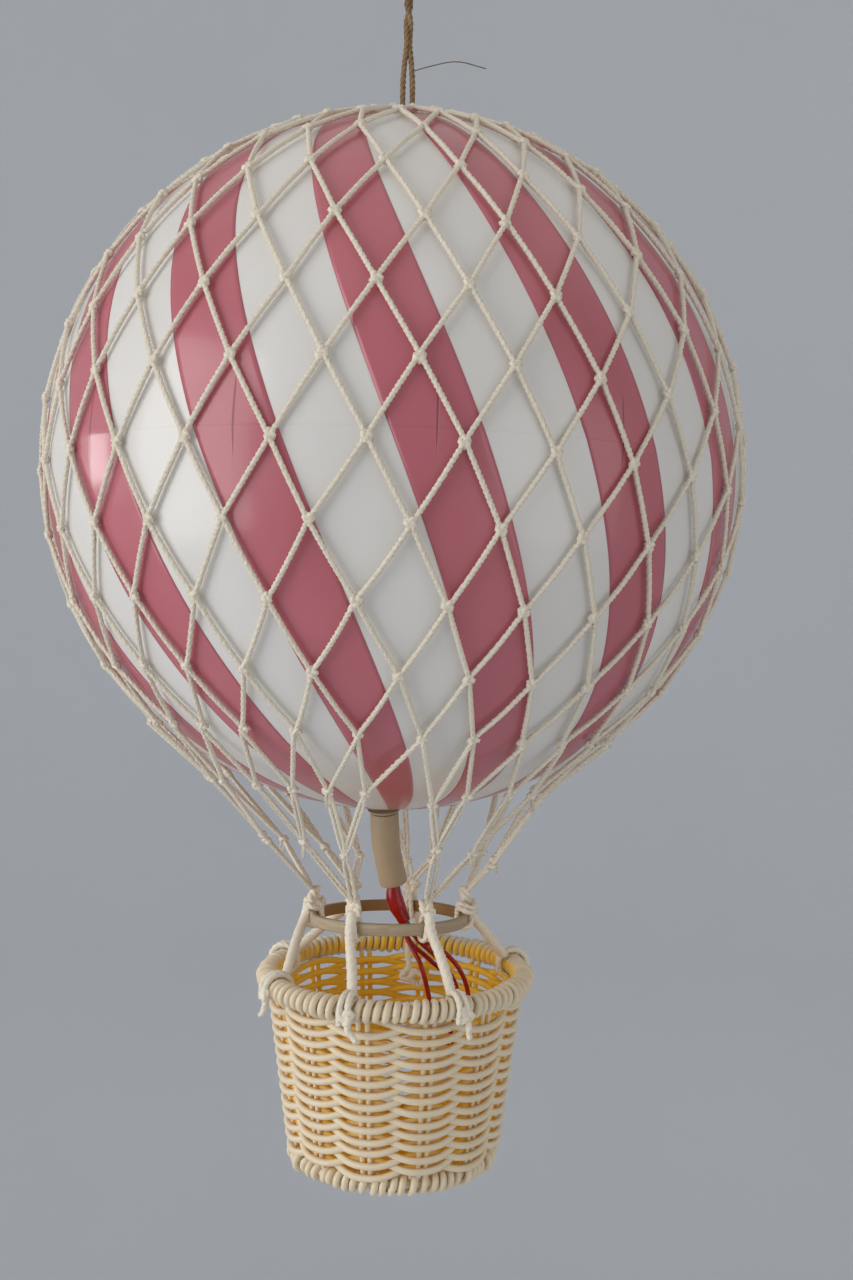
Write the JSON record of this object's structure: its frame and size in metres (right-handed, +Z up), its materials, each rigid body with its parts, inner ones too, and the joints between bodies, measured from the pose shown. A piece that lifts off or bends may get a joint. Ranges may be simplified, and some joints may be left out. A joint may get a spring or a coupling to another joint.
{
  "type": "hanging model balloon",
  "caption": "Striped round hot air balloon model in a knotted cord net, with a small wicker basket slung under a cane hoop, hung on a twine string.",
  "frame": {"origin": "inside the top of the hanging loop, where a hook carries it", "axes": "+Z up along the string, -Y towards the viewer of the picture, +X to that viewer's right"},
  "size_m": [0.3071, 0.3076, 0.5437],
  "materials": {
    "white_film": "satin",
    "pink_film": "satin",
    "cotton_cord": "matte",
    "jute_twine": "matte",
    "hoop_cane": "satin",
    "basket_reed": "satin",
    "neck_rubber": "satin",
    "red_insulation": "gloss",
    "plug_plastic": "satin"
  },
  "bodies": {
    "hang": {"hang_loop": "jute_twine", "loop_knot": "jute_twine"},
    "string": {"string_strand_a": "jute_twine", "string_strand_b": "jute_twine"},
    "balloon": {"crown_knot": "jute_twine", "crown_ring": "cotton_cord", "envelope": "white_film", "envelope_stripes": "pink_film", "net": "cotton_cord", "neck": "neck_rubber", "lead_sleeve": "red_insulation", "lead_a": "red_insulation", "lead_b": "red_insulation", "lead_c": "red_insulation", "lead_d": "red_insulation", "lead_plug": "plug_plastic", "hoop": "hoop_cane", "hoop_tie_1": "cotton_cord", "hoop_tie_2": "cotton_cord", "hoop_tie_3": "cotton_cord", "hoop_tie_4": "cotton_cord", "hoop_tie_5": "cotton_cord", "hoop_tie_6": "cotton_cord", "suspension_cord_1": "cotton_cord", "suspension_cord_2": "cotton_cord", "suspension_cord_3": "cotton_cord", "suspension_cord_4": "cotton_cord", "suspension_cord_5": "cotton_cord", "suspension_cord_6": "cotton_cord"},
    "basket": {"rim_tie_1": "cotton_cord", "rim_tie_2": "cotton_cord", "rim_tie_3": "cotton_cord", "rim_tie_4": "cotton_cord", "rim_tie_5": "cotton_cord", "rim_tie_6": "cotton_cord", "basket_rim": "basket_reed", "basket_wall": "basket_reed", "basket_foot": "basket_reed", "basket_floor": "basket_reed"}
  },
  "joints": [
    {"name": "string_swing", "type": "hinge", "parent": "hang", "child": "string", "pos_m": [0, 0, -0.0306], "axis": [0, 1, 0], "range_deg": [-25, 25]},
    {"name": "balloon_swivel", "type": "hinge", "parent": "string", "child": "balloon", "pos_m": [0, 0, -0.0739], "axis": [0, 0, 1], "continuous": true},
    {"name": "basket_swing", "type": "hinge", "parent": "balloon", "child": "basket", "pos_m": [0, 0, -0.432], "axis": [0, 1, 0], "range_deg": [-8, 8], "deforming": ["suspension_cord_1", "suspension_cord_2", "suspension_cord_3", "suspension_cord_4", "suspension_cord_5", "suspension_cord_6"]}
  ]
}
